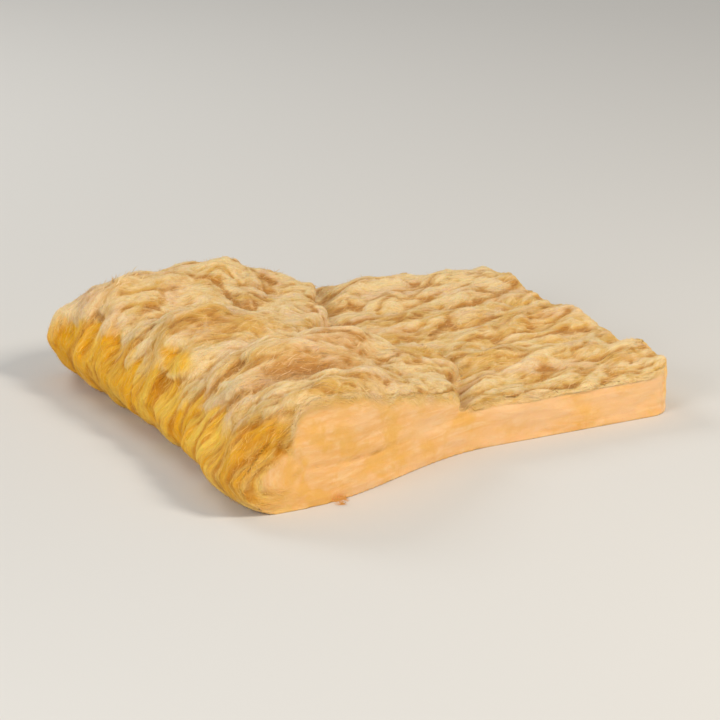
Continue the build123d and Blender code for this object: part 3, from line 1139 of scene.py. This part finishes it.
# %% [markdown]
# Last the section. A flat three-sided ring, widest in the middle of the strand and closed
# at both ends, is run along each line. Three sides are enough, because the strands take
# the normals of the wool under them: then light falls on them as on the soft wool, and a
# strand's dark side doesn't show as a hard line.

# %% Give the lines their section
own_end = add_node(growth, "ShaderNodeMath", {0: 1.0, 1: share}, operation="SUBTRACT")
bow = add_node(growth, "ShaderNodeMath", {0: share, 1: own_end.outputs[0]},
               operation="MULTIPLY")
full = add_node(growth, "ShaderNodeMath", {0: bow.outputs[0], 1: 4.0}, operation="MULTIPLY")
taper = add_node(growth, "ShaderNodeMath", {0: full.outputs[0], 1: 0.6}, operation="POWER")
width = add_node(growth, "ShaderNodeMath", {0: taper.outputs[0], 1: noted["lock_width"]},
                 operation="MULTIPLY")
radius = add_node(growth, "ShaderNodeMath", {0: width.outputs[0], 1: 0.5},
                  operation="MULTIPLY")
lines = add_node(growth, "GeometryNodeStoreNamedAttribute",
                 {"Geometry": lines, "Name": "lock_share", "Value": share},
                 data_type="FLOAT", domain="POINT").outputs[0]
ring = add_node(growth, "GeometryNodeCurvePrimitiveCircle", {"Resolution": 3, "Radius": 1.0},
                mode="RADIUS")
flat = add_node(growth, "ShaderNodeCombineXYZ", {0: given["Flatness"], 1: 1.0, 2: 1.0})
flat_ring = add_node(growth, "GeometryNodeTransform",
                     {"Geometry": ring.outputs[0], "Scale": flat.outputs[0]})
strands = add_node(growth, "GeometryNodeCurveToMesh",
                   {"Curve": lines, "Profile Curve": flat_ring.outputs[0],
                    "Scale": radius.outputs[0], "Fill Caps": True})
facing = add_node(growth, "GeometryNodeSetMeshNormal",
                  {"Mesh": strands.outputs[0], "Custom Normal": noted["under"]},
                  mode="FREE", domain="POINT")
run = add_node(growth, "ShaderNodeMath", {0: noted["lock_share"], 1: noted["lock_length"]},
               operation="MULTIPLY")
along = add_node(growth, "ShaderNodeMath", {0: run.outputs[0], 1: noted["lock_start"]},
                 operation="ADD")
lay = add_node(growth, "ShaderNodeCombineXYZ",
               {0: along.outputs[0], 1: noted["lock_start"], 2: 0.0})
mapped = add_node(growth, "GeometryNodeStoreNamedAttribute",
                  {"Geometry": facing.outputs[0], "Name": "lay", "Value": lay.outputs[0]},
                  data_type="FLOAT2", domain="CORNER")
whole = add_node(growth, "GeometryNodeRealizeInstances", {0: mapped.outputs[0]})
finished = add_node(growth, "GeometryNodeSetMaterial",
                    {"Geometry": whole.outputs[0], "Material": given["Wool"]})
add_node(growth, "NodeGroupOutput", {0: finished.outputs[0]})
print("nodes in the tree:", len(growth.nodes))

# %% [markdown]
# ## Grow the strands
#
# A modifier runs the tree, and its inputs are set by their identifiers, because their names
# aren't keys. The result is kept as a plain mesh and the working notes on it are cleared.
# The strands cast no shadow: real loose fibre is so thin that light passes it, and the
# shadows of these coarser strands would make the wool look dirty.

# %% The helper that grows one kind
working_notes = ("flow", "outward", "under", "torn", "sliced", "spiky")


def grow(name, settings, ground=guide_mesh):
    """Runs the tree on a guide mesh and keeps the strands as a plain mesh piece."""
    maker = show(ground, name + "_maker")
    modifier = maker.modifiers.new("strands", "NODES")
    modifier.node_group = growth
    sockets = {item.name: item.identifier for item in growth.interface.items_tree
               if item.in_out == "INPUT"}
    for setting, value in settings.items():
        modifier[sockets[setting]] = value
    modifier[sockets["Wool"]] = loose_wool
    grown = settled(maker)
    bpy.data.objects.remove(maker)
    for extra in [a.name for a in grown.attributes
                  if a.name.startswith("lock_") or a.name in working_notes]:
        grown.attributes.remove(grown.attributes[extra])
    piece = show(grown, name)
    piece.visible_shadow = False
    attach(piece, "root")
    print(name, "triangles:", triangle_count(grown))


# %% [markdown]
# Three kinds cover the torn skin. Long wisps lie flat along the lay. Shorter loose fibres
# lie less in line and lift at their tips. Fine fuzz points every way and breaks up the
# smooth light on the tufts. The thinnest is 0.3 mm wide, which is far coarser than real
# fibre, because anything finer would vanish between the pixels of the picture.

# %% Strands on the torn skin
grow("laid_wisps", {
    "Cover": "torn", "Count per square metre": 6000.0,
    "Shortest": 12 * MM, "Longest": 36 * MM, "Narrowest": 0.6 * MM, "Widest": 1.6 * MM,
    "Flatness": 0.2, "Stack height": 0.4 * MM, "Sink": 1.5 * MM, "Tip lift": 0.6 * MM,
    "Turn": 0.5, "Sway": 1.5 * MM, "Points": 5, "Seed": 3})
grow("loose_fibres", {
    "Cover": "torn", "Count per square metre": 25000.0,
    "Shortest": 6 * MM, "Longest": 16 * MM, "Narrowest": 0.4 * MM, "Widest": 0.9 * MM,
    "Flatness": 0.22, "Stack height": 0.8 * MM, "Sink": 1.5 * MM, "Tip lift": 2.5 * MM,
    "Turn": 0.9, "Sway": 1 * MM, "Points": 3, "Seed": 50})
grow("fine_fuzz", {
    "Cover": "torn", "Count per square metre": 25000.0,
    "Shortest": 5 * MM, "Longest": 12 * MM, "Narrowest": 0.3 * MM, "Widest": 0.7 * MM,
    "Flatness": 0.22, "Stack height": 1.0 * MM, "Sink": 1.5 * MM, "Tip lift": 5 * MM,
    "Turn": 3.1, "Sway": 1 * MM, "Points": 3, "Seed": 140})

# %% [markdown]
# A clean cut leaves short ends of fibre on its face. They lie close and mostly level, and
# give the cut its soft nap. None grow in the seam, or they would hide it.

# %% Fibre ends on the cut faces
grow("cut_fibres", {
    "Cover": "sliced", "Count per square metre": 36000.0,
    "Shortest": 5 * MM, "Longest": 14 * MM, "Narrowest": 0.3 * MM, "Widest": 0.7 * MM,
    "Flatness": 0.22, "Stack height": 0.3 * MM, "Sink": 1 * MM, "Tip lift": 1.5 * MM,
    "Turn": 1.1, "Sway": 1 * MM, "Points": 4, "Seed": 80})

# %% [markdown]
# A small golden wisp, painted brown with deep painted shade, has dropped on the floor
# against the foot of the near cut. The same tree grows it, on a small four-cornered guide
# of its own, stacked a few millimetres high.

# %% The fallen wisp
wisp_corners = [(-9, -18), (6, -20), (10, 2), (-9, 4)]
wisp_from_middle = -190 * MM
wisp_floor_gap = 0.5 * MM
to_wisp = np.hypot(rows[:, 0] - wisp_from_middle, rows[:, 1] - lowest.y) + rows[:, 2]
wisp_place = rows[np.argmin(to_wisp)]
wisp_mesh = bpy.data.meshes.new("wisp_guide")
wisp_mesh.from_pydata([(wisp_place[0] + x * MM, wisp_place[1] + y * MM, wisp_floor_gap)
                       for x, y in wisp_corners], [], [(0, 1, 2, 3)])
keep_vectors(wisp_mesh, "flow", [(0.55, -0.83, 0)] * 4)
keep_vectors(wisp_mesh, "outward", [(0, 0, 1)] * 4)
# A low relief number paints the wisp with deep painted shade; its gold share is its own colour.
wisp_numbers = {"torn": 1, "relief": -0.3, "shade": 0.1, "gold": 0.6, "cut": 0}
for name, value in wisp_numbers.items():
    keep_numbers(wisp_mesh, name, [value] * 4)
grow("fallen_wisp", {
    "Cover": "torn", "Count per square metre": 180000.0,
    "Shortest": 10 * MM, "Longest": 22 * MM, "Narrowest": 0.6 * MM, "Widest": 1.4 * MM,
    "Flatness": 0.5, "Stack height": 6 * MM, "Sink": 0.0, "Tip lift": 4 * MM,
    "Turn": 0.7, "Sway": 2 * MM, "Points": 5, "Seed": 9}, wisp_mesh)

# %% [markdown]
# On the far shoulder of the fold the wool was torn upward, and a row of coarser tufts
# stands there against the background. A few more stand along the torn end.

# %% Standing tufts
grow("standing_tufts", {
    "Cover": "spiky", "Count per square metre": 30000.0,
    "Shortest": 12 * MM, "Longest": 26 * MM, "Narrowest": 1.0 * MM, "Widest": 3.5 * MM,
    "Flatness": 0.3, "Stack height": 0.5 * MM, "Sink": 4 * MM, "Tip lift": 9 * MM,
    "Turn": 0.9, "Sway": 2 * MM, "Points": 5, "Seed": 110})
